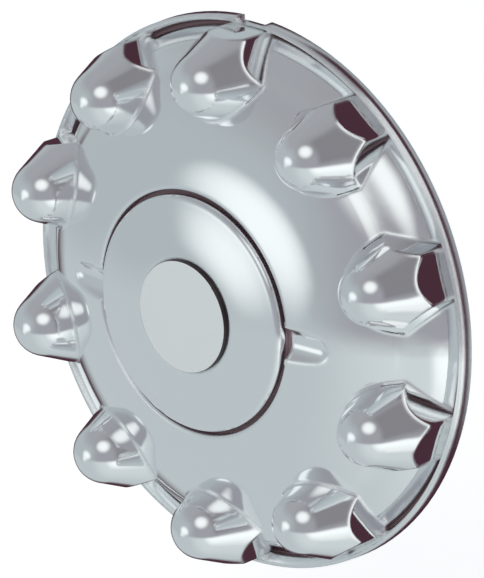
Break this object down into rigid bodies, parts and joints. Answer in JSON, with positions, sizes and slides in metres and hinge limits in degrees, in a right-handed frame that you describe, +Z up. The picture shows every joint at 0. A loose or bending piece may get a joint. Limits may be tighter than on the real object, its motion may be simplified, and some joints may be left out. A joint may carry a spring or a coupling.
{
  "type": "axle hub cover",
  "caption": "Domed round wheel hub cover with ball-nosed hexagonal nut towers around its rim, a notched raised lip and a removable crowned centre cap with a bare badge disc.",
  "frame": {"origin": "centre of the nut circle on the wheel face that the rim and the nut sockets sit on", "axes": "Y is the wheel's axis with +Y inboard and -Y outboard, +Z is up through the top nut tower"},
  "size_m": [0.3496, 0.0685, 0.3494],
  "materials": {
    "cover_chrome": "mirror chrome plate on moulded plastic",
    "cap_chrome": "mirror chrome plate on moulded plastic",
    "badge_satin": "satin silver face"
  },
  "bodies": {
    "root": {"axle_cover": "cover_chrome", "center_cap": "cap_chrome", "badge_disc": "badge_satin"}
  },
  "joints": []
}
